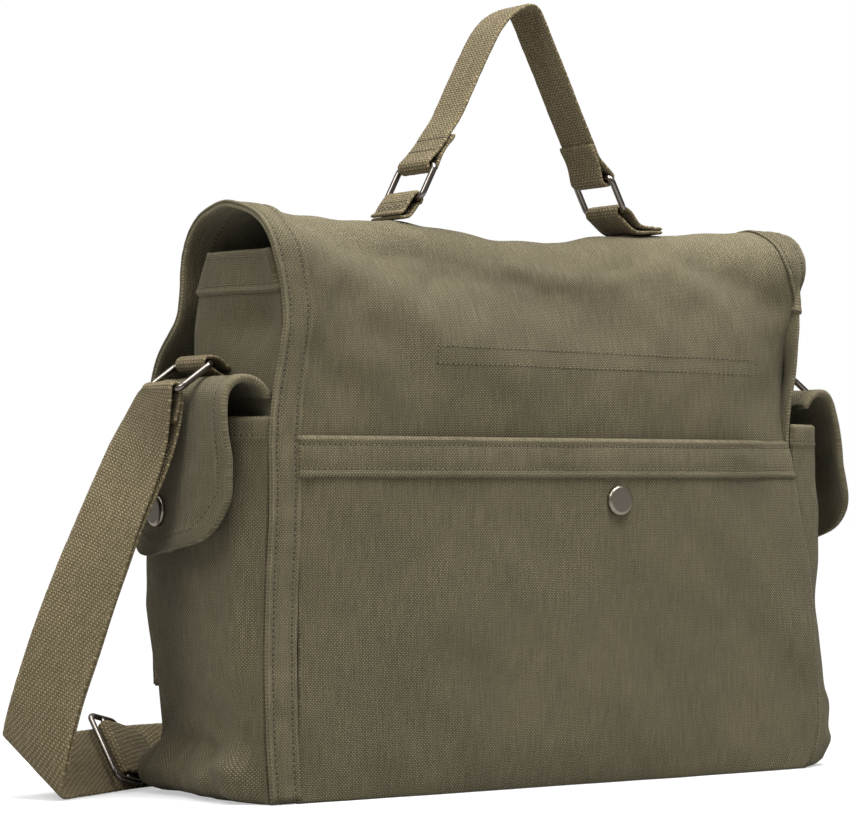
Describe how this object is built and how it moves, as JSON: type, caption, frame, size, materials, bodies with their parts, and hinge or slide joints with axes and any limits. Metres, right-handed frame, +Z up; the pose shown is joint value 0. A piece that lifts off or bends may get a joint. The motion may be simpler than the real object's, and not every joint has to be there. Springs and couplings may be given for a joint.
{
  "type": "satchel bag",
  "caption": "Canvas satchel with a fold-over flap, a back slip pocket, flapped side pockets, a webbing top handle on rings and a shoulder strap resting on the floor.",
  "frame": {"origin": "middle of the base, on the floor", "axes": "+X is the width, towards the wearer's left when the flap faces forward; +Y points out of the back panel with the slip pocket, so the flap hangs on the -Y side; +Z is up, standing on the base"},
  "size_m": [0.4826, 0.1525, 0.3879],
  "materials": {
    "canvas": "heavy washed cotton canvas, olive, visible weave, matt",
    "webbing": "coarse cotton webbing, olive khaki, matt",
    "lining": "canvas seen from inside, dark olive, matt",
    "tape": "woven zip tape, matt",
    "snap_metal": "dark nickel plating, satin",
    "ring_metal": "dark nickel wire, polished",
    "zip_metal": "aged brass"
  },
  "bodies": {
    "bag": {"back_edge_band_left": "canvas", "back_edge_band_right": "canvas", "back_panel": "canvas", "back_pocket_hem": "canvas", "back_pocket_panel": "canvas", "back_snap_cap": "snap_metal", "back_snap_socket": "snap_metal", "back_snap_stud": "snap_metal", "base_panel": "canvas", "flap_snap_studs": "snap_metal", "front_panel": "canvas", "gusset_left": "canvas", "gusset_right": "canvas", "inner_pocket": "lining", "mouth_facing": "lining", "side_flap_root_left": "canvas", "side_flap_root_right": "canvas", "side_pocket_left": "canvas", "side_pocket_right": "canvas", "side_snap_stud_left": "snap_metal", "side_snap_stud_right": "snap_metal", "strap_floor_run_front": "webbing", "strap_floor_run_left": "webbing", "strap_floor_run_right": "webbing", "strap_tab_left": "webbing", "strap_tab_right": "webbing", "zip_tape": "tape", "zip_teeth": "zip_metal"},
    "flap_top": {"flap_top": "canvas", "flap_top_edge_bands": "canvas", "handle_tab_right": "webbing", "handle_tab_left": "webbing"},
    "flap_front": {"flap_front": "canvas", "flap_front_edge_bands": "canvas", "flap_hem_band": "canvas", "flap_snap_caps": "snap_metal", "flap_snap_sockets": "snap_metal"},
    "handle_ring_right": {"handle_ring_right": "ring_metal"},
    "handle_ring_left": {"handle_ring_left": "ring_metal"},
    "handle": {"handle_strap": "webbing"},
    "strap_adjuster": {"strap_adjuster": "ring_metal", "adjuster_loop": "webbing"},
    "zip_slider": {"zip_slider": "zip_metal"},
    "zip_pull": {"zip_pull": "zip_metal"},
    "side_flap_right": {"side_pocket_flap_right": "canvas", "side_flap_binding_right": "canvas", "side_snap_cap_right": "snap_metal", "side_snap_socket_right": "snap_metal"},
    "strap_right": {"strap_ring_right": "ring_metal", "strap_upper_right": "webbing"},
    "side_flap_left": {"side_pocket_flap_left": "canvas", "side_flap_binding_left": "canvas", "side_snap_cap_left": "snap_metal", "side_snap_socket_left": "snap_metal"},
    "strap_left": {"strap_ring_left": "ring_metal", "strap_upper_left": "webbing"}
  },
  "joints": [
    {"name": "flap_hinge", "type": "hinge", "parent": "bag", "child": "flap_top", "pos_m": [0, 0.0515, 0.2305], "axis": [-1, 0, 0], "range_deg": [0, 100]},
    {"name": "flap_fold", "type": "hinge", "parent": "flap_top", "child": "flap_front", "pos_m": [0, -0.0295, 0.2645], "axis": [-1, 0, 0], "range_deg": [0, 160]},
    {"name": "handle_ring_right_swing", "type": "hinge", "parent": "flap_top", "child": "handle_ring_right", "pos_m": [0.0635, 0.005, 0.2865], "axis": [0, -1, 0], "range_deg": [-10, 10]},
    {"name": "handle_sway", "type": "hinge", "parent": "handle_ring_right", "child": "handle", "pos_m": [0.0545, 0.005, 0.3035], "axis": [0, -1, 0], "range_deg": [-12, 12]},
    {"name": "handle_ring_left_swing", "type": "hinge", "parent": "flap_top", "child": "handle_ring_left", "pos_m": [-0.0635, 0.005, 0.2865], "axis": [0, -1, 0], "range_deg": [-10.5, 10.5]},
    {"name": "adjuster_slide", "type": "slide", "parent": "bag", "child": "strap_adjuster", "axis": [0.8682, 0.4961, 0], "range_m": [-0.003, 0.012]},
    {"name": "zip_slide", "type": "slide", "parent": "bag", "child": "zip_slider", "axis": [-1, 0, 0], "range_m": [0, 0.16]},
    {"name": "zip_pull_hinge", "type": "hinge", "parent": "zip_slider", "child": "zip_pull", "pos_m": [0.06, 0.0363, 0.194], "axis": [-1, 0, 0], "range_deg": [0, 150]},
    {"name": "side_flap_right_lift", "type": "hinge", "parent": "bag", "child": "side_flap_right", "pos_m": [0.1903, 0, 0.19], "axis": [0, -1, 0], "range_deg": [0, 75]},
    {"name": "strap_right_lift", "type": "hinge", "parent": "bag", "child": "strap_right", "pos_m": [0.18, 0.002, 0.2035], "axis": [0, -1, 0], "range_deg": [0, 61]},
    {"name": "side_flap_left_lift", "type": "hinge", "parent": "bag", "child": "side_flap_left", "pos_m": [-0.1903, 0, 0.19], "axis": [0, 1, 0], "range_deg": [0, 75]},
    {"name": "strap_left_lift", "type": "hinge", "parent": "bag", "child": "strap_left", "pos_m": [-0.18, 0.002, 0.2035], "axis": [0, 1, 0], "range_deg": [0, 61]}
  ],
  "couplings": [
    {"joint": "handle_sway", "follows": "handle_ring_right_swing", "ratio": -1.1633},
    {"joint": "handle_ring_left_swing", "follows": "handle_ring_right_swing", "ratio": 1},
    {"joint": "strap_right_lift", "follows": "side_flap_right_lift", "ratio": 0.8},
    {"joint": "strap_left_lift", "follows": "side_flap_left_lift", "ratio": 0.8}
  ]
}
